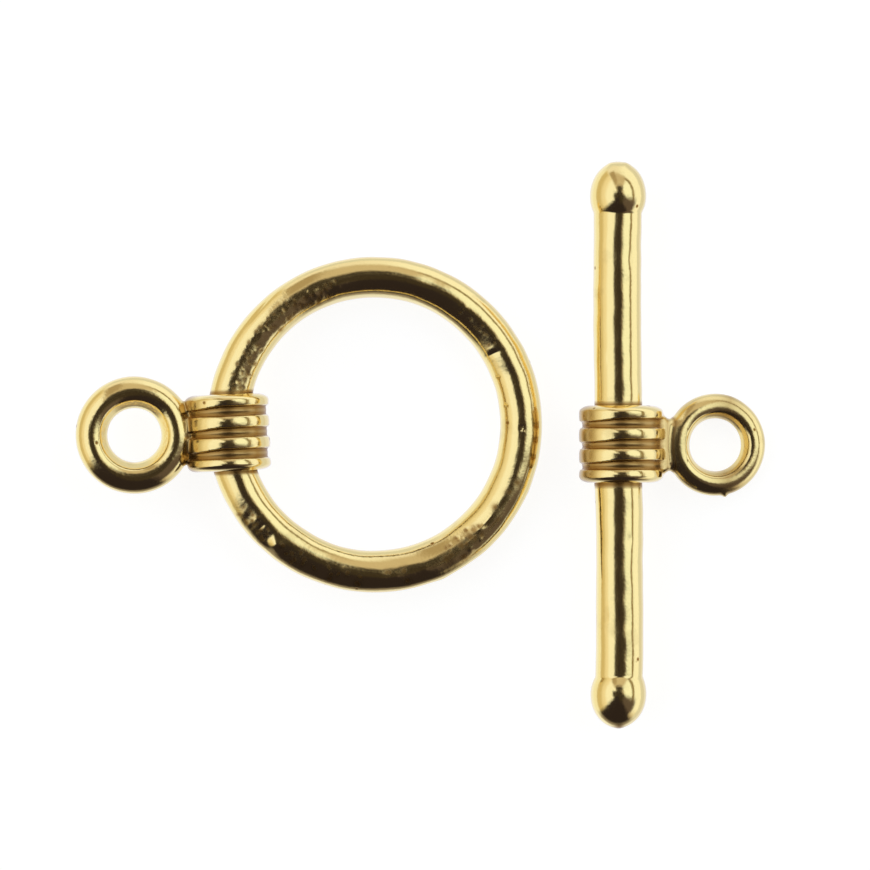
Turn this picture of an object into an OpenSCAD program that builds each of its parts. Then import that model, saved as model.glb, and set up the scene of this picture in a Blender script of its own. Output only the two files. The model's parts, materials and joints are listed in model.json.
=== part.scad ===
// Toggle clasp: a round ring half and a straight bar half, lying side by side on a flat surface.
// Millimetres. Z is up, X runs from the ring's eye to the bar's eye, and Y is along the bar.
// The origin is on the surface, under the middle of the two halves.
// Each half has a collar of close wound turns with a round eye that a jump ring goes through.

/* [Ring] */
// Outside diameter of the ring
ring_od = 12; // [10:0.1:16]
// Thickness of the ring's round wire
ring_wire_d = 1.5; // [1.2:0.05:1.7]

/* [Ring collar] */
// Diameter over the turns of the collar on the ring
ring_collar_d = 3; // [2.8:0.05:3.4]
// Number of turns in the collar on the ring
ring_turns = 4; // [3:1:6]
// Distance from one turn to the next
ring_turn_pitch = 0.76; // [0.7:0.01:0.85]
// Depth of the grooves between the turns
ring_groove = 0.2; // [0.12:0.01:0.25]

/* [Ring eye] */
// Outside diameter of the ring half's eye
ring_eye_od = 4.2; // [3.8:0.05:4.8]
// Diameter of the hole in the ring half's eye
ring_eye_hole_d = 1.9; // [1.6:0.05:2.3]
// Length of the straight wall in that hole
ring_eye_land = 0.5; // [0.3:0.05:0.6]
// Depth to which the eye's rim runs into the collar
ring_eye_sink = 0.26; // [0.2:0.01:0.4]

/* [Bar] */
// Length of the bar over its ball ends
bar_length = 20.2; // [16:0.1:26]
// Thickness of the bar
bar_d = 1.7; // [1.4:0.05:1.8]
// Diameter of the ball on each end of the bar
ball_d = 2; // [1.9:0.05:2.4]

/* [Bar collar] */
// Diameter over the turns of the collar on the bar
bar_collar_d = 3; // [2.8:0.05:3.4]
// Number of turns in the collar on the bar
bar_turns = 4; // [3:1:6]
// Distance from one turn to the next
bar_turn_pitch = 0.72; // [0.65:0.01:0.8]
// Depth of the grooves between the turns
bar_groove = 0.2; // [0.12:0.01:0.25]
// Distance of the bar's axis from the collar's, away from the eye
bar_offset = 0.1; // [0:0.01:0.15]

/* [Bar neck and eye] */
// Width of the neck between the collar and the eye
neck_w = 1.8; // [1.4:0.05:2]
// Thickness of the neck, less than the eye's
neck_t = 0.8; // [0.7:0.01:0.85]
// Gap between the collar and the eye's rim that the neck bridges
neck_gap = 0.14; // [0.05:0.01:0.5]
// Outside diameter of the bar half's eye
bar_eye_od = 3.66; // [3.4:0.02:4.4]
// Diameter of the hole in the bar half's eye
bar_eye_hole_d = 1.85; // [1.5:0.05:2]
// Length of the straight wall in that hole
bar_eye_land = 0.4; // [0.3:0.05:0.5]

/* [Fits and layout] */
// Gap all round between the ring or bar and its collar
wire_gap = 0.03; // [0.02:0.01:0.05]
// Overlap of one turn with the next
turn_lap = 0.03; // [0.02:0.01:0.05]
// Gap between the ring and the collar on the bar as they lie
halves_gap = 1.3; // [0.5:0.1:6]
// Angle that the ring half is turned from the X axis
ring_half_turn = 2.5; // [0:0.5:15]
// Distance that the ring's centre lies above the bar's middle
ring_rise = 0.72; // [0:0.02:2]

/* [Hidden] */
$fn = 96;
gold = [0.86, 0.68, 0.3];
dark_gold = [0.72, 0.53, 0.2];

// Wire radii and the radius of each ring's centre line
ring_wire_r = ring_wire_d / 2;
ring_path_r = ring_od / 2 - ring_wire_r;
ring_collar_r = ring_collar_d / 2;
bar_r = bar_d / 2;
ball_r = ball_d / 2;
bar_collar_r = bar_collar_d / 2;

// An eye's section is a circle through its rim whose inner side is cut straight by the hole.
function eye_section_r(od, hole_d, land) =
    let (wall = (od - hole_d) / 2) (wall * wall + land * land / 4) / (2 * wall);
ring_eye_r = eye_section_r(ring_eye_od, ring_eye_hole_d, ring_eye_land);
bar_eye_r = eye_section_r(bar_eye_od, bar_eye_hole_d, bar_eye_land);
ring_eye_path_r = ring_eye_od / 2 - ring_eye_r;
bar_eye_path_r = bar_eye_od / 2 - bar_eye_r;

// Distance from each collar's axis to the centre of its eye
ring_eye_reach = ring_collar_r + ring_eye_od / 2 - ring_eye_sink;
bar_eye_reach = bar_collar_r + neck_gap + bar_eye_od / 2;

// The ring half leans on its collar and the ring's far edge, the bar half on its collar and eye.
ring_tilt = asin((ring_collar_r - ring_wire_r) / (2 * ring_path_r));
bar_tilt = asin((bar_collar_r - bar_eye_r) / (bar_eye_reach + bar_eye_path_r));

// Reach of a tilted circle along X, as a share of its radius
ring_lean = sqrt(1 - pow(sin(ring_tilt) * cos(ring_half_turn), 2));

// The two halves are spread along X so that the origin lies under the middle of both.
left_of_ring_centre = (ring_eye_reach + ring_path_r) * cos(ring_tilt) * cos(ring_half_turn)
    + ring_eye_path_r * ring_lean + ring_eye_r;
right_of_ring_centre = ring_path_r * ring_lean + ring_wire_r;
right_of_bar_collar = (bar_eye_reach + bar_eye_path_r) * cos(bar_tilt) + bar_eye_r;
overall_x = left_of_ring_centre + right_of_ring_centre + halves_gap + bar_collar_r
    + right_of_bar_collar;
ring_centre_x = left_of_ring_centre - overall_x / 2;
bar_collar_x = overall_x / 2 - right_of_bar_collar;

// Round section of wire_r swept round a circle of path_r about the Z axis
module wire_ring(path_r, wire_r) {
    rotate_extrude()
        translate([path_r, 0]) circle(r = wire_r);
}

// Turns wound side by side along the Y axis on a core that fills the grooves
module wound_collar(collar_r, turns, pitch, groove) {
    turn_r = (pitch + turn_lap) / 2;
    first_turn = -(turns - 1) * pitch / 2;
    rotate([90, 0, 0]) rotate_extrude() union() {
        translate([0, first_turn]) square([collar_r - groove, (turns - 1) * pitch]);
        for (i = [0:turns - 1])
            translate([collar_r - turn_r, first_turn + i * pitch]) circle(r = turn_r);
    }
}

// Flat lying eye about the Z axis, with a short straight wall in its hole
module eye(path_r, section_r, hole_d) {
    rotate_extrude() difference() {
        translate([path_r, 0]) circle(r = section_r);
        translate([0, -section_r]) square([hole_d / 2, 2 * section_r]);
    }
}

// Round edged neck along the X axis
module neck(length, width, thickness) {
    side = (width - thickness) / 2;
    rotate([90, 0, 90]) linear_extrude(length) union() {
        square([2 * side, thickness], center = true);
        for (end = [-side, side]) translate([end, 0]) circle(d = thickness);
    }
}

// Each half is drawn flat, with its collar's axis on the Y axis, and then laid on the surface.
module lay_ring_half() {
    translate([ring_centre_x, ring_rise, ring_collar_r]) rotate([0, 0, ring_half_turn])
        translate([-ring_path_r * cos(ring_tilt), 0, 0]) rotate([0, ring_tilt, 0]) children();
}

module lay_bar_half() {
    translate([bar_collar_x, 0, bar_collar_r]) rotate([0, bar_tilt, 0]) children();
}

// The ring's wire passes through the collar, so the ring's centre is one path radius away.
module ring_wire(wire_r) {
    translate([ring_path_r, 0, 0]) wire_ring(ring_path_r, wire_r);
}

module ring() {
    color(gold) lay_ring_half() ring_wire(ring_wire_r);
}

module ring_collar() {
    color(dark_gold) lay_ring_half() difference() {
        union() {
            wound_collar(ring_collar_r, ring_turns, ring_turn_pitch, ring_groove);
            translate([-ring_eye_reach, 0, 0]) eye(ring_eye_path_r, ring_eye_r, ring_eye_hole_d);
        }
        ring_wire(ring_wire_r + wire_gap);
    }
}

module bar() {
    ball_y = bar_length / 2 - ball_r;
    color(gold) lay_bar_half() translate([-bar_offset, 0, 0]) union() {
        rotate([90, 0, 0]) cylinder(h = 2 * ball_y, r = bar_r, center = true);
        for (y = [-ball_y, ball_y]) translate([0, y, 0]) sphere(r = ball_r);
    }
}

module bar_collar() {
    neck_end = bar_eye_reach - bar_eye_path_r;
    collar_length = bar_turns * bar_turn_pitch + turn_lap;
    color(dark_gold) lay_bar_half() difference() {
        union() {
            wound_collar(bar_collar_r, bar_turns, bar_turn_pitch, bar_groove);
            neck(neck_end, neck_w, neck_t);
            translate([bar_eye_reach, 0, 0]) eye(bar_eye_path_r, bar_eye_r, bar_eye_hole_d);
        }
        translate([-bar_offset, 0, 0]) rotate([90, 0, 0])
            cylinder(h = 2 * collar_length, r = bar_r + wire_gap, center = true);
    }
}

ring();
ring_collar();
bar();
bar_collar();
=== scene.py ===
"""The looks of a gold-coloured toggle clasp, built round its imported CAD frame.

Each half has its own axes, in millimetres from the middle of its eye: along runs from the eye to the
collar, across lies in the plane of the eye, and up stands out of it. The frame itself is in metres.
"""

import json
import math

import bpy
import numpy as np
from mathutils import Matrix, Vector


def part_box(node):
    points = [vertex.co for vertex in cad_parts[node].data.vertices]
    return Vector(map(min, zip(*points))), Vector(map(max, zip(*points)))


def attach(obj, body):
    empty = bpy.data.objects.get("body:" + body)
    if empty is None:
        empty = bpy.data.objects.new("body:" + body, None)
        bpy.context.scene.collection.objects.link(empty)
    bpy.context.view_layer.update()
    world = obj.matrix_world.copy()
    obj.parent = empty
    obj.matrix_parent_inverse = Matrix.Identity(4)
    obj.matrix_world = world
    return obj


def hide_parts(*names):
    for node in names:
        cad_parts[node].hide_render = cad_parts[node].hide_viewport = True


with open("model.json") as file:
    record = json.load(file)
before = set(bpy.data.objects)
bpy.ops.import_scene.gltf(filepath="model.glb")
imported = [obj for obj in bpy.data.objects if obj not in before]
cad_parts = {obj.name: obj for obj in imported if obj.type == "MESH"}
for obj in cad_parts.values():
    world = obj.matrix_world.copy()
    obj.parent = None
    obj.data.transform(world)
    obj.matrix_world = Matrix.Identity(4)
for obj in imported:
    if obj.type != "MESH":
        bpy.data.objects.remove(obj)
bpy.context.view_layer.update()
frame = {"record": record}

# The ring
# A round wire 1.5 mm thick on a 12 mm circle, cast in one with its collar in a soft alloy, tumbled
# bright and plated in a thin gold colour. Casting leaves slow waves, dings, pits and flash on it.
MM = 0.001
RING_PATH_R = 5.25
RING_WIRE_R = 0.75
RING_MIDDLE = 8.59
# How much the section leans, and how flat its inner side is, by the angle round the ring in degrees
RING_LEAN = (
    (0, 0.02), (45, 0.02), (90, 0.06), (132, 0.03), (175, 0), (235, -0.04), (270, 0.05), (305, 0.085),
)
RING_FLAT = ((35, 0), (75, 0.08), (112, 0.08), (150, 0))
RING_FLAT_AT = 168
RING_FLAT_SPREAD = 0.6
SMOOTHED_OVER = 5 * np.arange(-4, 5)
RING_COLLAR_END = 1.37
RING_RIBS_LOW = 0.06
RING_STEPS = 800
WIRE_STEPS = 110
RING_WAVES_HIGH = 0.006
# The brown band where the wire runs into its collar is tarnish and painted shade at the join.
RING_SEAM_TARNISH_AND_SHADE = 0.85
RING_SEAM = (0.07, 0.19)
# How brown the dents are painted: tarnish settled in them, and painted shade.
DENT_TARNISH_AND_SHADE = 0.85
UNDERSIDE = -0.3
PIT_DEPTH = -1.6


def soft_step(value, low, high):
    """0 below low and 1 above high, with soft ends."""
    part = np.clip((value - low) / (high - low), 0, 1)
    return part * part * (3 - 2 * part)


def half_axes(eye_mount, far_node):
    """The middle of a half's eye in metres, and its along, across and up as a matrix's columns."""
    mount = next(m for m in frame["record"]["mounts"] if m["name"] == eye_mount)
    middle = np.array(mount["pos_m"], float)
    up = np.array(mount["axis"], float)
    up /= np.linalg.norm(up)
    low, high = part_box(far_node)
    along = (np.array(low) + np.array(high)) / 2 - middle
    along -= up * (along @ up)
    along /= np.linalg.norm(along)
    return middle, np.column_stack([along, np.cross(up, along), up])


def casting_waves(seed, count, shortest, longest):
    """Directions and starts of the slow waves that casting leaves, for wavelengths in mm."""
    rng = np.random.default_rng(seed)
    way = rng.normal(size=(count, 3))
    way /= np.linalg.norm(way, axis=1, keepdims=True)
    length = np.exp(rng.uniform(math.log(shortest), math.log(longest), count))
    return way * (2 * math.pi / length)[:, None], rng.uniform(0, 2 * math.pi, count)


def weather(points, normals, waves, height, dings=()):
    """Moves a surface, in mm in the row frame, by waves and dings, and turns its normals to suit.

    A ding is a soft dent or bump seen from above: x, y, half length, half width, turn in degrees, rise.
    """
    rise = np.zeros(len(points))
    slope = np.zeros_like(points)
    share = height / math.sqrt(len(waves[1]))
    for way, start in zip(*waves):
        turn = points @ way + start
        rise += share * np.sin(turn)
        slope += (share * np.cos(turn))[:, None] * way
    for x, y, long, wide, turned, bump in dings:
        c, s = math.cos(math.radians(turned)), math.sin(math.radians(turned))
        dx, dy = points[:, 0] - x, points[:, 1] - y
        p, q = (dx * c + dy * s) / long, (dy * c - dx * s) / wide
        swell = bump * np.exp(-p * p - q * q) * (normals[:, 2] > UNDERSIDE)
        rise += swell
        slope[:, 0] += -2 * swell * (p * c / long - q * s / wide)
        slope[:, 1] += -2 * swell * (p * s / long + q * c / wide)
    slope -= normals * (slope * normals).sum(1, keepdims=True)
    turned = normals - slope
    return points + normals * rise[:, None], turned / np.linalg.norm(turned, axis=1, keepdims=True)


def piece_mesh(name, points, normals, faces, tarnish_and_shade):
    """A smooth mesh object from points in mm in the row frame, normals, and quads or triangles."""
    mesh = bpy.data.meshes.new(name)
    mesh.vertices.add(len(points))
    mesh.vertices.foreach_set("co", (points * MM).astype(np.float32).ravel())
    sides = faces.shape[1]
    mesh.loops.add(faces.size)
    mesh.loops.foreach_set("vertex_index", faces.astype(np.int32).ravel())
    mesh.polygons.add(len(faces))
    mesh.polygons.foreach_set("loop_start", np.arange(0, faces.size, sides, dtype=np.int32))
    mesh.polygons.foreach_set("use_smooth", np.ones(len(faces), bool))
    mesh.update(calc_edges=True)
    mesh.validate()
    mesh.normals_split_custom_set_from_vertices(normals.astype(np.float32))
    # The brown of tarnish and painted shade in the hollows goes on as a point attribute.
    dark = mesh.attributes.new("tarnish_and_shade", "FLOAT", "POINT")
    dark.data.foreach_set("value", tarnish_and_shade.astype(np.float32))
    piece = bpy.data.objects.new(name, mesh)
    bpy.context.scene.collection.objects.link(piece)
    return piece


def quads_of_grid(rows, columns, close_rows):
    """Quads over a grid of points whose columns close on themselves, and its rows too if asked."""
    i = np.arange(rows if close_rows else rows - 1)
    i, j = (a.ravel() for a in np.meshgrid(i, np.arange(columns), indexing="ij"))
    i2, j2 = (i + 1) % rows, (j + 1) % columns
    return np.stack([i * columns + j, i2 * columns + j, i2 * columns + j2, i * columns + j2], axis=1)


def to_row(points, normals, axes):
    """Points in mm and normals of a half's own axes, in the row frame."""
    middle, turn = axes
    return points @ turn.T + middle / MM, normals @ turn.T


def casting_skin():
    """Height, pits and stains of a tumbled casting, in object coordinates in metres."""
    group = bpy.data.node_groups.new("casting_skin", "ShaderNodeTree")
    asked = {"Grain": 9000.0, "Pit Scale": 2600.0, "Pit Share": 0.12, "Stain Scale": 700.0}
    for name, value in asked.items():
        socket = group.interface.new_socket(name=name, in_out="INPUT", socket_type="NodeSocketFloat")
        socket.default_value = value
    for name in ("Height", "Pits", "Stain"):
        group.interface.new_socket(name=name, in_out="OUTPUT", socket_type="NodeSocketFloat")
    nodes, links = group.nodes, group.links
    ask, give = nodes.new("NodeGroupInput"), nodes.new("NodeGroupOutput")
    place = nodes.new("ShaderNodeTexCoord")

    grain = nodes.new("ShaderNodeTexNoise")
    grain.inputs["Detail"].default_value = 3.0
    links.new(place.outputs["Object"], grain.inputs["Vector"])
    links.new(ask.outputs["Grain"], grain.inputs["Scale"])

    stain_and_shade = nodes.new("ShaderNodeTexNoise")
    stain_and_shade.inputs["Detail"].default_value = 4.0
    links.new(place.outputs["Object"], stain_and_shade.inputs["Vector"])
    links.new(ask.outputs["Stain Scale"], stain_and_shade.inputs["Scale"])

    cells = nodes.new("ShaderNodeTexVoronoi")
    links.new(place.outputs["Object"], cells.inputs["Vector"])
    links.new(ask.outputs["Pit Scale"], cells.inputs["Scale"])
    hole = nodes.new("ShaderNodeMapRange")
    hole.interpolation_type = "SMOOTHSTEP"
    hole.inputs["From Min"].default_value = 0.26
    hole.inputs["From Max"].default_value = 0.08
    links.new(cells.outputs["Distance"], hole.inputs["Value"])
    dice = nodes.new("ShaderNodeSeparateColor")
    links.new(cells.outputs["Color"], dice.inputs["Color"])
    chosen = nodes.new("ShaderNodeMath")
    chosen.operation = "LESS_THAN"
    links.new(dice.outputs["Red"], chosen.inputs[0])
    links.new(ask.outputs["Pit Share"], chosen.inputs[1])
    pits = nodes.new("ShaderNodeMath")
    pits.operation = "MULTIPLY"
    links.new(hole.outputs["Result"], pits.inputs[0])
    links.new(chosen.outputs["Value"], pits.inputs[1])

    drop = nodes.new("ShaderNodeMath")
    drop.operation = "MULTIPLY_ADD"
    drop.inputs[1].default_value = PIT_DEPTH
    links.new(pits.outputs["Value"], drop.inputs[0])
    links.new(grain.outputs["Fac"], drop.inputs[2])
    links.new(drop.outputs["Value"], give.inputs["Height"])
    links.new(pits.outputs["Value"], give.inputs["Pits"])
    links.new(stain_and_shade.outputs["Fac"], give.inputs["Stain"])
    return group


def plated_tone():
    """Colour and roughness of the gold plate: browner and duller in pits and stains, and in hollows
    where tarnish and painted shade are laid on.
    """
    group = bpy.data.node_groups.new("plated_tone", "ShaderNodeTree")
    for name, value in (("Bright", (0.95, 0.745, 0.33, 1)), ("Brown", (0.33, 0.155, 0.028, 1))):
        socket = group.interface.new_socket(name=name, in_out="INPUT", socket_type="NodeSocketColor")
        socket.default_value = value
    for name in ("Tarnish And Shade", "Pits", "Stain"):
        group.interface.new_socket(name=name, in_out="INPUT", socket_type="NodeSocketFloat")
    group.interface.new_socket(name="Color", in_out="OUTPUT", socket_type="NodeSocketColor")
    group.interface.new_socket(name="Roughness", in_out="OUTPUT", socket_type="NodeSocketFloat")
    nodes, links = group.nodes, group.links
    ask, give = nodes.new("NodeGroupInput"), nodes.new("NodeGroupOutput")

    patch = nodes.new("ShaderNodeMapRange")
    patch.inputs["From Min"].default_value = 0.62
    patch.inputs["From Max"].default_value = 0.80
    patch.inputs["To Max"].default_value = 0.30
    links.new(ask.outputs["Stain"], patch.inputs["Value"])
    most = nodes.new("ShaderNodeMath")
    most.operation = "MAXIMUM"
    links.new(ask.outputs["Tarnish And Shade"], most.inputs[0])
    links.new(ask.outputs["Pits"], most.inputs[1])
    # Tarnish and painted shade in hollows, pits and stains decide how brown and dull the plate is.
    tarnish_shade_mix = nodes.new("ShaderNodeMath")
    tarnish_shade_mix.operation = "MAXIMUM"
    links.new(most.outputs["Value"], tarnish_shade_mix.inputs[0])
    links.new(patch.outputs["Result"], tarnish_shade_mix.inputs[1])

    tone = nodes.new("ShaderNodeMix")
    tone.data_type = "RGBA"
    links.new(tarnish_shade_mix.outputs["Value"], tone.inputs["Factor"])
    links.new(ask.outputs["Bright"], tone.inputs["A"])
    links.new(ask.outputs["Brown"], tone.inputs["B"])
    links.new(tone.outputs["Result"], give.inputs["Color"])
    rough = nodes.new("ShaderNodeMapRange")
    rough.inputs["To Min"].default_value = 0.13
    rough.inputs["To Max"].default_value = 0.38
    links.new(tarnish_shade_mix.outputs["Value"], rough.inputs["Value"])
    links.new(rough.outputs["Result"], give.inputs["Roughness"])
    return group


SKIN = casting_skin()
TONE = plated_tone()


def plated_metal(name, pit_share, relief):
    """The gold plate on one piece: a metal that shows its casting, painted brown where it lies deep, for
    tarnish and painted shade.
    """
    metal = bpy.data.materials.new(name)
    metal.use_nodes = True
    nodes, links = metal.node_tree.nodes, metal.node_tree.links
    shader = nodes["Principled BSDF"]
    shader.inputs["Metallic"].default_value = 1.0
    skin = nodes.new("ShaderNodeGroup")
    skin.node_tree = SKIN
    skin.inputs["Pit Share"].default_value = pit_share
    tone = nodes.new("ShaderNodeGroup")
    tone.node_tree = TONE
    # The point attribute holds the tarnish and painted shade of the hollows.
    tarnish_and_shade = nodes.new("ShaderNodeAttribute")
    tarnish_and_shade.attribute_name = "tarnish_and_shade"
    links.new(tarnish_and_shade.outputs["Fac"], tone.inputs["Tarnish And Shade"])
    links.new(skin.outputs["Pits"], tone.inputs["Pits"])
    links.new(skin.outputs["Stain"], tone.inputs["Stain"])
    links.new(tone.outputs["Color"], shader.inputs["Base Color"])
    links.new(tone.outputs["Roughness"], shader.inputs["Roughness"])
    bump = nodes.new("ShaderNodeBump")
    bump.inputs["Distance"].default_value = relief * MM
    links.new(skin.outputs["Height"], bump.inputs["Height"])
    links.new(bump.outputs["Normal"], shader.inputs["Normal"])
    return metal


RING_AXES = half_axes("ring_eye", "ring")
RING_DINGS = (
    (-4.15, 5.05, 0.55, 0.22, 50, -0.020),
    (-3.80, 5.40, 0.16, 0.12, 0, 0.018),
    (-4.50, 4.75, 0.14, 0.10, 30, -0.016),
    (2.61, 3.26, 0.25, 0.09, 24, -0.022),
    (2.48, 3.43, 0.14, 0.08, 18, 0.006),
    (0.78, -4.83, 0.30, 0.05, 24, 0.070),
    (3.59, 0.62, 0.07, 0.15, 0, -0.020),
    (3.62, 0.48, 0.06, 0.07, 0, 0.014),
    (3.57, 0.74, 0.05, 0.05, 0, 0.010),
    (-5.58, 5.03, 0.50, 0.06, 50, -0.010),
    (-5.92, 4.60, 0.40, 0.05, 55, -0.008),
    (2.74, 2.42, 0.07, 0.06, 0, -0.016),
    (3.03, 1.39, 0.07, 0.06, 0, -0.016),
    (2.07, -3.02, 0.22, 0.10, 20, 0.030),
    (1.78, -3.71, 0.12, 0.08, 30, 0.018),
    (2.14, -3.38, 0.08, 0.06, 60, 0.014),
    (1.64, -3.01, 0.08, 0.06, 20, -0.016),
    (1.28, -3.33, 0.08, 0.06, 40, -0.016),
    (-5.50, -3.30, 0.30, 0.18, -50, -0.030),
    (-5.16, -3.58, 0.26, 0.19, -50, 0.075),
    (-5.02, -3.70, 0.12, 0.08, 0, -0.020),
    (-5.69, -2.92, 0.12, 0.06, 40, -0.018),
    (-6.12, -2.54, 0.20, 0.14, 60, -0.014),
)


def strewn(seed, count, around, off_path, sizes, rise):
    """Small dings of a rough patch: angles round the ring, distances off its path, sizes and rise."""
    rng = np.random.default_rng(seed)
    angle = np.radians(rng.uniform(*around, count))
    reach = RING_PATH_R + rng.uniform(*off_path, count)
    middle = RING_AXES[0] / MM + RING_AXES[1][:, 0] * RING_MIDDLE
    x, y = middle[0] + reach * np.cos(angle), middle[1] + reach * np.sin(angle)
    long, wide = rng.uniform(*sizes, (2, count))
    return tuple(zip(x, y, long, wide, rng.uniform(0, 180, count), rise * rng.uniform(-1, 1, count)))


def settled_tarnish_and_shade(points, dings):
    """How brown the dents are painted, from 0 to 1: tarnish settled in them, and painted shade."""
    brown = np.zeros(len(points))
    for x, y, long, wide, turned, bump in dings:
        if bump < 0:
            c, s = math.cos(math.radians(turned)), math.sin(math.radians(turned))
            dx, dy = points[:, 0] - x, points[:, 1] - y
            p, q = (dx * c + dy * s) / long, (dy * c - dx * s) / wide
            brown = np.maximum(brown, DENT_TARNISH_AND_SHADE * np.exp(-p * p - q * q))
    return brown


RUBBED_STREAKS = (
    (1.79, -3.39, 0.55, 0.045, 40, 0.009),
    (2.58, -2.83, 0.50, 0.045, 50, -0.009),
    (0.90, -4.09, 0.60, 0.050, 28, -0.008),
    (2.30, -2.78, 0.40, 0.040, 48, 0.008),
)
ROUGH_PATCHES = (
    strewn(3, 190, (104, 168), (-0.50, 0.12), (0.05, 0.11), 0.0065)
    + strewn(4, 40, (211, 226), (0.0, 0.55), (0.06, 0.11), 0.006)
    + strewn(5, 30, (34, 55), (-0.35, 0.05), (0.05, 0.10), 0.007)
    + strewn(6, 20, (300, 316), (-0.30, 0.0), (0.05, 0.08), 0.005)
    + strewn(7, 50, (222, 290), (0.0, 0.50), (0.08, 0.16), 0.005)
    + strewn(8, 24, (290, 345), (-0.10, 0.45), (0.10, 0.24), 0.003)
    + RUBBED_STREAKS
)
round_ring = np.linspace(0, 2 * math.pi, RING_STEPS, endpoint=False)
round_wire = np.linspace(0, 2 * math.pi, WIRE_STEPS, endpoint=False)
u, v = (a.ravel() for a in np.meshgrid(round_ring, round_wire, indexing="ij"))
turned = (np.degrees(u) + SMOOTHED_OVER[:, None]) % 360
sway = np.interp(turned, *zip(*RING_LEAN), period=360).mean(0)
off_flat = (v - math.radians(RING_FLAT_AT)) / RING_FLAT_SPREAD
flat = np.interp(turned, *zip(*RING_FLAT), period=360).mean(0) * np.exp(-off_flat * off_flat)
swell = 1 + sway * np.sin(2 * v) - flat
section_r = RING_WIRE_R * swell
ring_line = np.stack([RING_MIDDLE + RING_PATH_R * np.cos(u), RING_PATH_R * np.sin(u), 0 * u], axis=1)
ring_way = np.stack([np.cos(v) * np.cos(u), np.cos(v) * np.sin(u), np.sin(v)], axis=1)
lean = v - np.arctan((2 * sway * np.cos(2 * v) + 2 * flat * off_flat / RING_FLAT_SPREAD) / swell)
normals = np.stack([np.cos(lean) * np.cos(u), np.cos(lean) * np.sin(u), np.sin(lean)], axis=1)
points, normals = to_row(ring_line + section_r[:, None] * ring_way, normals, RING_AXES)
CAST_WAVES = casting_waves(seed=11, count=36, shortest=0.8, longest=3.2)
points, normals = weather(points, normals, CAST_WAVES, RING_WAVES_HIGH, RING_DINGS + ROUGH_PATCHES)
beside = np.abs((RING_PATH_R + section_r * np.cos(v)) * np.sin(u) + RING_RIBS_LOW) - RING_COLLAR_END
# Painted shade with tarnish: a brown band on the wire by the collar's ends, and brown in its dents.
tarnish_and_shade_mask = RING_SEAM_TARNISH_AND_SHADE * (1 - soft_step(beside, *RING_SEAM)) * (np.cos(u) < 0)
tarnish_and_shade_mask = np.maximum(tarnish_and_shade_mask, settled_tarnish_and_shade(points, ROUGH_PATCHES))
faces = quads_of_grid(RING_STEPS, WIRE_STEPS, True)
ring = piece_mesh("ring_wire", points, normals, faces, tarnish_and_shade_mask)
ring.data.materials.append(plated_metal("ring_plate", pit_share=0.05, relief=0.0035))
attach(ring, "root")
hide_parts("ring")

# The ring's collar and eye
# Four close turns round the ring, 3 mm across, run into a round eye 4.2 mm across whose 1.9 mm hole
# takes a jump ring. It is cast, not wound: the turns are soft ribs, with tarnish and painted shade
# between them.
RING_COLLAR_AT = 3.34
COLLAR_R = 1.5
RING_TURN_PITCH = 0.76
RING_RIBS_FROM = 1.92
TURNS = 4
GROOVE = 0.12
CROWN_R = 1.0
CROWN_BACK = 0.5
CROWN_SPREAD = 0.12
# Where a turn's crown ends and the valley starts, as shares of the pitch
VALLEY = (0.22, 0.33)
BEAD = 0.014
BEAD_HALF = 0.08
BEAD_TOP = 0.01
RIBS_FADE = 0.2
END_ROUND = 0.24
STEEP_SIDES = 0.7
# The valleys and the collar's edge by the eye are painted brown for tarnish and painted shade. Each bead
# is left lighter.
VALLEY_TARNISH_AND_SHADE = 0.92
BEAD_LIGHTER = 0.22
INSIDE_R = 1.0
EDGE_TARNISH_AND_SHADE = 0.6
EDGE_IN = (0.95, 1.4)
EDGE_OUT = (1.5, 1.6)
WIRE_GAP = 0.03
CHANNEL_SKIN = -0.05
FAR_INSIDE = -9.0
BEVEL_SLOPE = 1.5
EYE_EDGE_ROUND = 0.04
RING_EYE = {"crest": 1.53, "outer": 0.57, "inner": 0.634, "height": 0.602, "bevel_at": 1.25}
RING_EYE_BLEND = 0.13
RING_HOLE_R = 0.95
RING_HOLE_ROUND = 0.10
RING_CHANNEL_FROM = 2.0
# Brown in the fillet round the eye's root: tarnish and painted shade.
RING_ROOT_TARNISH_AND_SHADE = 0.7
COLLAR_WAVES_HIGH = 0.004
RING_CELL = 0.04


def blend_min(a, b, width):
    """Two solids joined with a soft fillet of that width, and how deep a point lies in the fillet."""
    near = np.maximum(width - np.abs(a - b), 0) / width
    return np.minimum(a, b) - near * near * width / 4, near * near


def round_max(a, b, radius):
    """Where two solids overlap, with the edge between them rounded to that radius."""
    outside = np.hypot(np.maximum(a + radius, 0), np.maximum(b + radius, 0))
    return np.minimum(np.maximum(a, b), -radius) + outside


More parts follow.
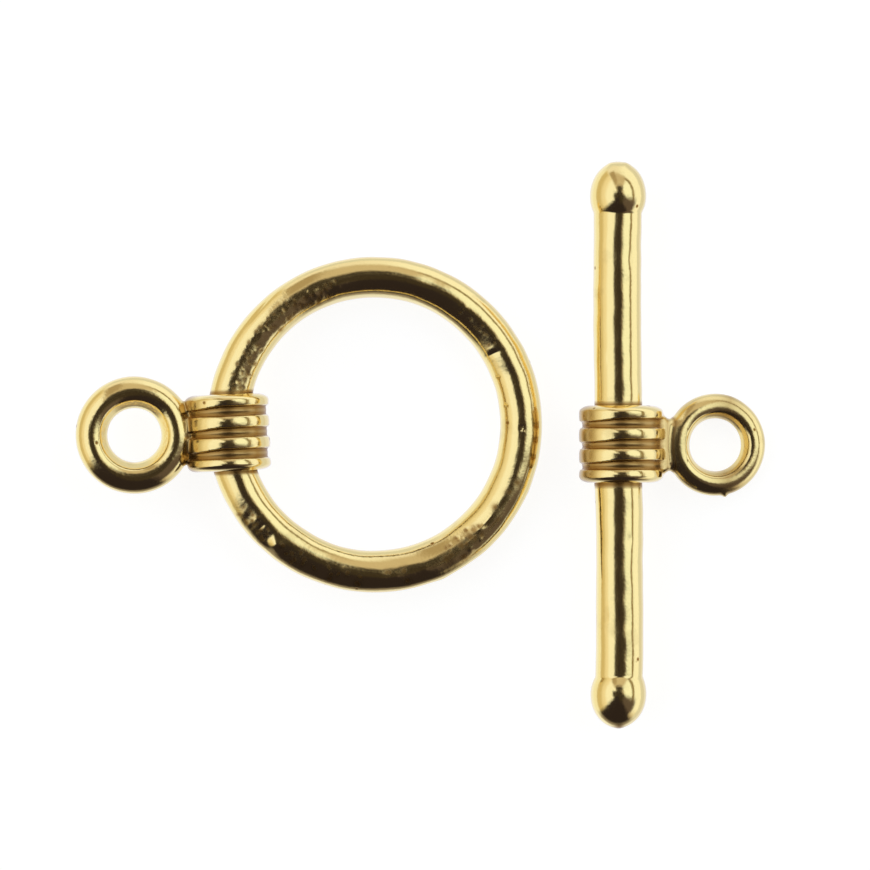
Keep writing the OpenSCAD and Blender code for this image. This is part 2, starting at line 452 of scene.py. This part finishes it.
def turns(x, y, z, at, pitch, end, ribs_from, way):
    """A ribbed collar round a line across at that x: its field, and how brown its surface is painted,
    for tarnish and painted shade.

    Each turn is a flat crown with short steep sides, and a low bead runs along each valley between.
    Towards -X of the row the crowns widen on their -Y side, and towards the eye the valleys run out.
    way is 1 where the half's along runs to +X of the row, and -1 where it runs to -X.
    """
    crest = (np.clip(np.round(y / pitch - 0.5), -TURNS / 2, TURNS / 2 - 1) + 0.5) * pitch
    off = way * (y - crest)
    reach = (at - x) * way
    wider = CROWN_SPREAD * soft_step(reach / COLLAR_R, 0.1, 1.0) * (off < 0)
    curve = np.where(off > 0, CROWN_R * CROWN_BACK, CROWN_R)
    off = np.maximum(np.abs(off) - wider, 0)
    between = soft_step(off / pitch, *VALLEY) * (np.abs(y) < (TURNS - 1) * pitch / 2)
    bead = soft_step(np.abs(y - crest), pitch / 2 - BEAD_HALF, pitch / 2 - BEAD_TOP) * between
    fade = soft_step(x, ribs_from - RIBS_FADE, ribs_from + RIBS_FADE)
    cut = fade * (off * off / 2 / curve * (1 - between) + GROOVE * between - BEAD * bead)
    rho = np.hypot(x - at, z)
    field = (rho - COLLAR_R + cut) * STEEP_SIDES
    # Painted shade with tarnish in the valleys and along the edge by the eye, less of it on the beads.
    stain_and_shade = fade * soft_step(between, 0.1, 0.9) * (VALLEY_TARNISH_AND_SHADE - BEAD_LIGHTER * bead) * (rho > INSIDE_R)
    edge = EDGE_TARNISH_AND_SHADE * soft_step(reach, *EDGE_IN) * (1 - soft_step(reach, *EDGE_OUT))
    return round_max(field, np.abs(y) - end, END_ROUND), np.maximum(stain_and_shade, edge)


def surface_net(field, low, high, cell):
    """A quad mesh of the field's zero surface, its points walked onto it, with normals and its painted
    tarnish and shade.
    """
    lines = [np.arange(a, b + cell, cell) for a, b in zip(low, high)]
    grid = np.meshgrid(*lines, indexing="ij")
    value = field(*grid)[0]
    inside = value < 0
    total = np.zeros(tuple(n - 1 for n in value.shape) + (3,))
    count = np.zeros(total.shape[:3])
    crossings = []
    for axis in range(3):
        here = [slice(None)] * 3
        there = [slice(None)] * 3
        here[axis], there[axis] = slice(None, -1), slice(1, None)
        a, b = value[tuple(here)], value[tuple(there)]
        cut = inside[tuple(here)] != inside[tuple(there)]
        crossings.append(cut)
        at = np.argwhere(cut)
        part = a[cut] / (a[cut] - b[cut])
        spot = at.astype(float)
        spot[:, axis] += part
        others = [n for n in range(3) if n != axis]
        for p in (0, 1):
            for q in (0, 1):
                cube = at.copy()
                cube[:, others[0]] -= p
                cube[:, others[1]] -= q
                np.add.at(total, tuple(cube.T), spot)
                np.add.at(count, tuple(cube.T), 1)
    used = count > 0
    index = np.full(count.shape, -1)
    index[used] = np.arange(used.sum())
    points = total[used] / count[used][:, None] * cell + np.array(low)
    faces = []
    for axis in range(3):
        others = [n for n in range(3) if n != axis]
        at = np.argwhere(crossings[axis])
        corner = []
        for p, q in ((0, 0), (1, 0), (1, 1), (0, 1)):
            cube = at.copy()
            cube[:, others[0]] -= p
            cube[:, others[1]] -= q
            corner.append(index[tuple(cube.T)])
        quad = np.stack(corner, axis=1)
        leaves = inside[tuple(at.T)]
        flip = leaves if axis == 1 else ~leaves
        quad[flip] = quad[flip][:, ::-1]
        faces.append(quad)
    faces = np.concatenate(faces)
    step = cell * 0.2
    for walk in range(4):
        value = field(*points.T)[0]
        rises = [
            field(*(points + step * side).T)[0] - field(*(points - step * side).T)[0]
            for side in np.eye(3)
        ]
        slope = np.stack(rises, axis=1) / (2 * step)
        steep = (slope * slope).sum(1)
        if walk < 3:
            move = (value / np.maximum(steep, 0.05))[:, None] * slope
            points = points - np.clip(move, -cell / 2, cell / 2)
    normals = slope / np.sqrt(np.maximum(steep, 1e-9))[:, None]
    return points, normals, faces, np.clip(field(*points.T)[1], 0, 1)


def round_eye(x, y, z, crest, outer, inner, height, bevel_at):
    """A round eye: its section reaches outer and inner from its crest, and height up and down.

    From bevel_at inwards the section slopes down to the hole.
    """
    rho = np.hypot(x, y)
    off = rho - crest
    ring = np.hypot(off * height / np.where(off > 0, outer, inner), z) - height
    start = height * math.sqrt(1 - ((crest - bevel_at) / inner) ** 2)
    bevel = (np.abs(z) - start + BEVEL_SLOPE * (bevel_at - rho)) / math.hypot(1, BEVEL_SLOPE)
    return round_max(ring, np.where(rho < crest, bevel, FAR_INSIDE), EYE_EDGE_ROUND)


def ring_collar_field(x, y, z):
    """The ring's collar with its eye, less the way through it for the ring's wire."""
    wire = np.hypot(np.hypot(x - RING_MIDDLE, y) - RING_PATH_R, z)
    collar, stain_and_shade = turns(
        x, y + RING_RIBS_LOW, z, RING_COLLAR_AT, RING_TURN_PITCH, RING_COLLAR_END, RING_RIBS_FROM, way=1
    )
    body, root = blend_min(collar, round_eye(x, y, z, **RING_EYE), RING_EYE_BLEND)
    body = round_max(body, RING_HOLE_R - np.hypot(x, y), RING_HOLE_ROUND)
    channel = RING_WIRE_R + WIRE_GAP - wire
    body = np.maximum(body, np.where(x > RING_CHANNEL_FROM, channel, FAR_INSIDE))
    # Painted shade with tarnish: brown in the fillet where the collar meets the eye, and all over the
    # channel inside.
    return body, np.maximum(np.maximum(stain_and_shade, RING_ROOT_TARNISH_AND_SHADE * root), channel > CHANNEL_SKIN)


RING_COLLAR_BOX = ((-2.4, -2.4, -1.7), (5.0, 2.4, 1.7))
points, normals, faces, tarnish_and_shade = surface_net(ring_collar_field, *RING_COLLAR_BOX, RING_CELL)
points, normals = to_row(points, normals, RING_AXES)
points, normals = weather(points, normals, CAST_WAVES, COLLAR_WAVES_HIGH)
ring_collar = piece_mesh("ring_collar_and_eye", points, normals, faces, tarnish_and_shade)
ring_collar.data.materials.append(plated_metal("ring_collar_plate", pit_share=0.04, relief=0.0035))
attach(ring_collar, "root")
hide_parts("ring_collar")

# The bar
# The straight half that goes through the ring and turns across it: 20.2 mm long and 1.7 mm thick, with
# a 2 mm ball, a little drawn out, that runs into the bar at each end. Cast in one with its collar.
BAR_AT = 3.57
BAR_HALF = 10.1
BAR_R = 0.85
BALL_R = 1.0
BALL_DRAWN = 1.2
NECK_FILLET = 0.18
BALL_STEPS = 88
FILLET_STEPS = 22
STRAIGHT_STEPS = 110
BAR_AROUND = 120
BAR_COLLAR_END = 1.38
BAR_WAVES_HIGH = 0.005
# The brown band where the bar runs into its collar is tarnish and painted shade at the join.
BAR_SEAM_TARNISH_AND_SHADE = 0.9
BAR_SEAM = (0.09, 0.18)


def bar_profile():
    """Places along the bar, radii and normals of its outline, from one ball's tip to the other's."""
    ball_at = BAR_HALF - BALL_R
    fillet_r = BAR_R + NECK_FILLET
    fillet_at = ball_at - math.sqrt((BALL_R + NECK_FILLET) ** 2 - fillet_r ** 2)
    touch = math.atan2(fillet_r, ball_at - fillet_at)
    turn = np.linspace(0, math.pi - touch, BALL_STEPS)
    out, up = np.cos(turn), np.sin(turn)
    ball = np.stack([ball_at + BALL_R * out, BALL_R * up, out, up], 1)
    turn = np.linspace(touch, math.pi / 2, FILLET_STEPS)[1:]
    out, up = np.cos(turn), np.sin(turn)
    fillet = np.stack([fillet_at + NECK_FILLET * out, fillet_r - NECK_FILLET * up, -out, up], 1)
    knob = np.concatenate([ball, fillet])
    knob[:, 0] = BAR_HALF - (BAR_HALF - knob[:, 0]) * BALL_DRAWN
    knob[:, 2] /= BALL_DRAWN
    knob[:, 2:] /= np.hypot(knob[:, 2], knob[:, 3])[:, None]
    straight = np.linspace(knob[-1, 0], 0, STRAIGHT_STEPS)[1:]
    straight = np.stack([straight, BAR_R + 0 * straight, 0 * straight, 1 + 0 * straight], 1)
    end = np.concatenate([knob, straight])
    other = end[-2::-1] * np.array([-1, 1, -1, 1])
    return np.concatenate([end, other])


BAR_AXES = half_axes("bar_eye", "bar")
BAR_DINGS = (
    (7.50, 6.60, 0.10, 0.30, 0, -0.010),
    (6.65, 3.10, 0.08, 0.22, 0, -0.008),
    (7.40, -3.40, 0.08, 0.20, 0, -0.010),
    (6.70, -6.10, 0.07, 0.18, 0, 0.008),
    (7.05, 5.30, 0.14, 0.30, 0, -0.004),
    (7.11, 3.80, 0.10, 0.26, 0, 0.005),
    (7.15, -4.60, 0.12, 0.30, 0, -0.004),
    (7.13, -8.05, 0.10, 0.22, 0, -0.004),
    (7.17, -7.10, 0.08, 0.20, 0, -0.004),
    (7.07, -10.06, 0.12, 0.10, 0, 0.014),
    (6.75, 10.02, 0.16, 0.10, 0, 0.020),
    (7.31, 10.02, 0.16, 0.10, 0, 0.022),
)
# A brown patch painted at the bottom of the ball, round its stub, darkens the ball's lower rim: painted
# shade. It moves no surface.
BALL_RIM_PAINTED_SHADE = (7.05, -10.06, 0.20, 0.14, 0, -1)
# How far the bar is bent, how much its section leans and how flat its top is, by the place along it
BAR_BEND = (
    (-9.1, 0), (-7.3, 0.035), (-4.5, 0.04), (-1.4, 0), (1.4, 0), (2.4, -0.05), (7.6, -0.05), (9.1, 0),
)
BAR_LEAN = (
    (-9.3, 0), (-8.1, -0.042), (-7.1, -0.012), (-5.2, -0.028), (-2.7, -0.013), (2.0, -0.015),
    (2.6, 0.006), (4.1, 0.026), (5.6, 0), (7.1, -0.003), (7.7, -0.022), (8.3, -0.008), (9.3, 0),
)
BAR_FLAT = ((1.3, 0), (1.6, 0.024), (8.8, 0.024), (9.2, 0))
BAR_FLAT_SPREAD = 0.436
BEND_OVER = np.linspace(-0.5, 0.5, 9)
LEAN_OVER = np.linspace(-0.4, 0.4, 9)
STRAIGHT_WITHIN = 1.5
outline = bar_profile()
angle = np.linspace(0, 2 * math.pi, BAR_AROUND, endpoint=False)
t, w = (a.ravel() for a in np.meshgrid(np.arange(1, len(outline) - 1), angle, indexing="ij"))
at, radius, lean, stand = outline[t].T
bend = np.interp(at[:, None] + BEND_OVER, *zip(*BAR_BEND)).mean(1) * (np.abs(at) > STRAIGHT_WITHIN)
sway = np.interp(at[:, None] + LEAN_OVER, *zip(*BAR_LEAN)).mean(1)
off_top = (w - math.atan2(BAR_AXES[1][2, 2], BAR_AXES[1][2, 0])) / BAR_FLAT_SPREAD
flat = np.interp(at, *zip(*BAR_FLAT)) * np.exp(-off_top * off_top)
swell = 1 + sway * np.sin(2 * w) - flat
facing = w - np.arctan((2 * sway * np.cos(2 * w) + 2 * flat * off_top / BAR_FLAT_SPREAD) / swell)
section = swell * radius
points = np.stack([BAR_AT + bend + section * np.cos(w), at, section * np.sin(w)], axis=1)
normals = np.stack([stand * np.cos(facing), lean, stand * np.sin(facing)], axis=1)
tip = len(points)
points = np.concatenate([points, [[BAR_AT, BAR_HALF, 0], [BAR_AT, -BAR_HALF, 0]]])
normals = np.concatenate([normals, [[0, 1, 0], [0, -1, 0]]])
points, normals = to_row(points, normals, BAR_AXES)
points, normals = weather(points, normals, CAST_WAVES, BAR_WAVES_HIGH, BAR_DINGS)
quads = quads_of_grid(len(outline) - 2, BAR_AROUND, False)
fan = np.arange(BAR_AROUND)
after = (fan + 1) % BAR_AROUND
last = (len(outline) - 3) * BAR_AROUND
cap = np.stack([fan, after, np.full(BAR_AROUND, tip)], axis=1)
other_cap = np.stack([last + after, last + fan, np.full(BAR_AROUND, tip + 1)], axis=1)
triangles = np.concatenate([quads[:, [2, 1, 0]], quads[:, [3, 2, 0]], cap, other_cap])
# Painted shade with tarnish: a brown band on the bar by the collar's ends.
beside = np.abs(at) - BAR_COLLAR_END
tarnish_and_shade_mask = np.append(BAR_SEAM_TARNISH_AND_SHADE * (1 - soft_step(beside, *BAR_SEAM)), [0, 0])
# Painted shade on the ball's lower rim.
tarnish_and_shade_mask = np.maximum(tarnish_and_shade_mask, settled_tarnish_and_shade(points, (BALL_RIM_PAINTED_SHADE,)))
bar = piece_mesh("bar_with_balls", points, normals, triangles, tarnish_and_shade_mask)
bar.data.materials.append(plated_metal("bar_plate", pit_share=0.04, relief=0.003))
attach(bar, "root")
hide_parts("bar")

# The bar's collar, neck and eye
# The same four turns round the middle of the bar, then a short neck as one rounded stub down to a
# smaller eye, 3.66 mm across with a 1.85 mm hole. The half lies tipped, with its eye on the surface.
BAR_COLLAR_AT = 3.47
BAR_TURN_PITCH = 0.74
BAR_RIBS_UP = 0.03
BAR_RIBS_FROM = 2.05
NECK_AT = 2.0
NECK_REACH = 0.7
NECK_SIDE = 0.60
NECK_TOP = 0.06
NECK_ROUND = 0.27
NECK_BLEND = 0.45
# Brown in the fillet at the neck: tarnish and painted shade.
NECK_TARNISH_AND_SHADE = 0.5
BAR_EYE = {"crest": 1.37, "outer": 0.46, "inner": 0.489, "height": 0.4746, "bevel_at": 1.16}
BAR_EYE_BLEND = 0.20
BAR_HOLE_R = 0.925
BAR_HOLE_ROUND = 0.12
BAR_CHANNEL_FROM = 2.2
# Brown in the fillet round the eye's root: tarnish and painted shade.
BAR_ROOT_TARNISH_AND_SHADE = 0.8
BAR_CELL = 0.038


def bar_collar_field(x, y, z):
    """The bar's collar with its neck and eye, less the way through it for the bar."""
    collar, stain_and_shade = turns(
        x, y + BAR_RIBS_UP, z, BAR_COLLAR_AT, BAR_TURN_PITCH, BAR_COLLAR_END, BAR_RIBS_FROM, way=-1
    )
    wide = np.maximum(np.abs(y) - NECK_SIDE, 0)
    thick = np.maximum(np.abs(z) - NECK_TOP, 0)
    neck = np.maximum(np.hypot(wide, thick) - NECK_ROUND, np.abs(x - NECK_AT) - NECK_REACH)
    body, shoulder = blend_min(collar, neck, NECK_BLEND)
    body, root = blend_min(body, round_eye(x, y, z, **BAR_EYE), BAR_EYE_BLEND)
    body = round_max(body, BAR_HOLE_R - np.hypot(x, y), BAR_HOLE_ROUND)
    channel = BAR_R + WIRE_GAP - np.hypot(x - BAR_AT, z)
    body = np.maximum(body, np.where(x > BAR_CHANNEL_FROM, channel, FAR_INSIDE))
    # Painted shade with tarnish: brown in the fillets of the neck and the eye, and all over the channel
    # inside.
    deep = np.maximum(stain_and_shade, np.maximum(BAR_ROOT_TARNISH_AND_SHADE * root, NECK_TARNISH_AND_SHADE * shoulder))
    return body, np.maximum(deep, channel > CHANNEL_SKIN)


BAR_EYE_STUB = (10.87, -1.86, 0.10, 0.10, 0, 0.12)
BAR_COLLAR_BOX = ((-2.1, -2.1, -1.7), (5.15, 2.1, 1.7))
points, normals, faces, tarnish_and_shade = surface_net(bar_collar_field, *BAR_COLLAR_BOX, BAR_CELL)
points, normals = to_row(points, normals, BAR_AXES)
points, normals = weather(points, normals, CAST_WAVES, COLLAR_WAVES_HIGH, (BAR_EYE_STUB,))
bar_collar = piece_mesh("bar_collar_and_eye", points, normals, faces, tarnish_and_shade)
bar_collar.data.materials.append(plated_metal("bar_collar_plate", pit_share=0.04, relief=0.0035))
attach(bar_collar, "root")
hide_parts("bar_collar")

# The floor
# A plain white board that both halves lie on, lit so evenly that it shows no shadow. It is seen by the
# camera alone: what the metal reflects below the horizon is the pale light of the studio.
FLOOR_HALF = 1.0
floor_mesh = bpy.data.meshes.new("floor")
corners = [(x * FLOOR_HALF, y * FLOOR_HALF, 0.0) for x, y in ((-1, -1), (1, -1), (1, 1), (-1, 1))]
floor_mesh.from_pydata(corners, [], [(0, 1, 2, 3)])
floor = bpy.data.objects.new("floor", floor_mesh)
bpy.context.scene.collection.objects.link(floor)
board = bpy.data.materials.new("white_board")
board.use_nodes = True
paint = board.node_tree.nodes["Principled BSDF"]
paint.inputs["Base Color"].default_value = (0.3, 0.3, 0.3, 1)
paint.inputs["Roughness"].default_value = 0.9
paint.inputs["Specular IOR Level"].default_value = 0.0
paint.inputs["Emission Color"].default_value = (1, 1, 1, 1)
paint.inputs["Emission Strength"].default_value = 0.88
floor_mesh.materials.append(board)
floor.visible_glossy = False

# The light
# A pale tent round the table with the gaps that the metal mirrors: a bright card on each side, a duller
# wall behind, a dark front where the table ends, and a dark spot overhead.
CARDS = (
    # name, azimuth, half width, polar from, polar to, softness of the sides, softness of the ends,
    # all of them in degrees, and colour
    ("back wall", 90, 180, 0, 180, 1, 1, (0.64, 0.58, 0.50)),
    ("back wall's foot", 80, 50, 74, 112, 30, 16, (0.92, 0.94, 1.00)),
    ("overhead", 90, 180, -10, 16, 1, 12, (0.035, 0.027, 0.022)),
    ("seam beside the left card", 112, 9, 34, 84, 8, 14, (0.44, 0.37, 0.27)),
    ("left card", 172, 48.5, 14, 92, 12, 10, (1.02, 1.09, 1.18)),
    ("left card's low half", 172, 48.5, 56, 108, 12, 16, (0.91, 0.87, 0.75)),
    ("left card's shaded end", 172, 48.5, 76, 108, 12, 18, (0.68, 0.60, 0.40)),
    ("right card", 21, 35, 21, 60, 20, 10, (1.04, 1.17, 1.26)),
    ("right card's foot", 20, 62, 66, 106, 30, 10, (1.04, 1.13, 1.24)),
    ("gap in the right side", 10, 54, 55, 65, 26, 6, (0.27, 0.22, 0.12)),
    ("horizon", 90, 180, 105, 124, 1, 10, (0.76, 0.82, 0.92)),
    ("left horizon", 175, 52, 104, 150, 30, 10, (0.98, 1.04, 1.04)),
    ("front horizon", -98, 42, 96, 138, 24, 14, (0.33, 0.31, 0.32)),
    ("brown corner", -44, 30, 18, 76, 26, 16, (0.112, 0.090, 0.092)),
    ("dark front", -100.5, 44.5, 0, 108, 14, 22, (0.027, 0.021, 0.026)),
    ("overhead towards the left", 186, 34, 0, 22, 18, 10, (0.05, 0.04, 0.03)),
    ("overhead towards the back", 82, 34, 0, 27, 24, 14, (0.05, 0.042, 0.036)),
    ("overhead by the front", -42, 40, 0, 24, 20, 12, (0.045, 0.036, 0.028)),
    ("board", 90, 180, 126, 190, 1, 12, (0.86, 0.93, 1.10)),
    ("board on the left", 172, 80, 126, 190, 50, 12, (1.00, 1.10, 1.28)),
    ("board close by", 90, 180, 150, 190, 1, 24, (0.93, 0.99, 1.26)),
)
world = bpy.data.worlds.new("studio")
bpy.context.scene.world = world
world.use_nodes = True
nodes, links = world.node_tree.nodes, world.node_tree.links
nodes.clear()
place = nodes.new("ShaderNodeTexCoord")
parts = nodes.new("ShaderNodeSeparateXYZ")
links.new(place.outputs["Generated"], parts.inputs["Vector"])
level = nodes.new("ShaderNodeCombineXYZ")
links.new(parts.outputs["X"], level.inputs["X"])
links.new(parts.outputs["Y"], level.inputs["Y"])
compass = nodes.new("ShaderNodeVectorMath")
compass.operation = "NORMALIZE"
links.new(level.outputs["Vector"], compass.inputs[0])
polar = nodes.new("ShaderNodeMath")
polar.operation = "ARCCOSINE"
links.new(parts.outputs["Z"], polar.inputs[0])


def ramp(source, low, high):
    """A mask that goes from 0 to 1 as source goes from low to high, with soft ends."""
    node = nodes.new("ShaderNodeMapRange")
    node.interpolation_type = "SMOOTHSTEP"
    node.inputs["From Min"].default_value = low
    node.inputs["From Max"].default_value = high
    links.new(source, node.inputs["Value"])
    return node.outputs["Result"]


def both(a, b):
    """Two masks multiplied."""
    node = nodes.new("ShaderNodeMath")
    node.operation = "MULTIPLY"
    links.new(a, node.inputs[0])
    links.new(b, node.inputs[1])
    return node.outputs["Value"]


sky = nodes.new("ShaderNodeRGB").outputs["Color"]
sky.default_value = (0.7, 0.65, 0.55, 1)
for name, azimuth, wide, top, bottom, edge, edge_polar, colour in CARDS:
    down, soft = polar.outputs["Value"], edge_polar / 2
    mask = both(
        ramp(down, math.radians(top - soft), math.radians(top + soft)),
        ramp(down, math.radians(bottom + soft), math.radians(bottom - soft)),
    )
    if wide < 180:
        towards = math.radians(azimuth)
        facing = nodes.new("ShaderNodeVectorMath")
        facing.operation = "DOT_PRODUCT"
        facing.inputs[1].default_value = (math.cos(towards), math.sin(towards), 0)
        links.new(compass.outputs["Vector"], facing.inputs[0])
        side = ramp(
            facing.outputs["Value"],
            math.cos(math.radians(min(wide + edge / 2, 180))),
            math.cos(math.radians(wide - edge / 2)),
        )
        mask = both(mask, side)
    lay = nodes.new("ShaderNodeMix")
    lay.data_type = "RGBA"
    lay.label = name
    links.new(mask, lay.inputs["Factor"])
    links.new(sky, lay.inputs["A"])
    lay.inputs["B"].default_value = (*colour, 1)
    sky = lay.outputs["Result"]

shine = nodes.new("ShaderNodeBackground")
links.new(sky, shine.inputs["Color"])
pale = nodes.new("ShaderNodeBackground")
pale.inputs["Color"].default_value = (1, 1, 1, 1)
seen = nodes.new("ShaderNodeLightPath")
pick = nodes.new("ShaderNodeMixShader")
links.new(seen.outputs["Is Camera Ray"], pick.inputs["Fac"])
links.new(shine.outputs["Background"], pick.inputs[1])
links.new(pale.outputs["Background"], pick.inputs[2])
out = nodes.new("ShaderNodeOutputWorld")
links.new(pick.outputs["Shader"], out.inputs["Surface"])
bpy.context.scene.view_settings.view_transform = "Standard"

# The camera
# Straight above the table, looking down on the two halves side by side. The frame takes in 31 mm
# at the height of the ring and the bar.
CAMERA_HEIGHT = 0.25
CAMERA_PLACE = (0.000491, 0.00035)
FRAME_SIDE = 0.03107
FRAMED_AT = 0.0012
SENSOR = 36.0
lens = bpy.data.cameras.new("camera")
lens.sensor_width = SENSOR
lens.lens = SENSOR * (CAMERA_HEIGHT - FRAMED_AT) / FRAME_SIDE
lens.clip_start = 0.01
camera = bpy.data.objects.new("camera", lens)
camera.location = (*CAMERA_PLACE, CAMERA_HEIGHT)
bpy.context.scene.collection.objects.link(camera)
bpy.context.scene.camera = camera
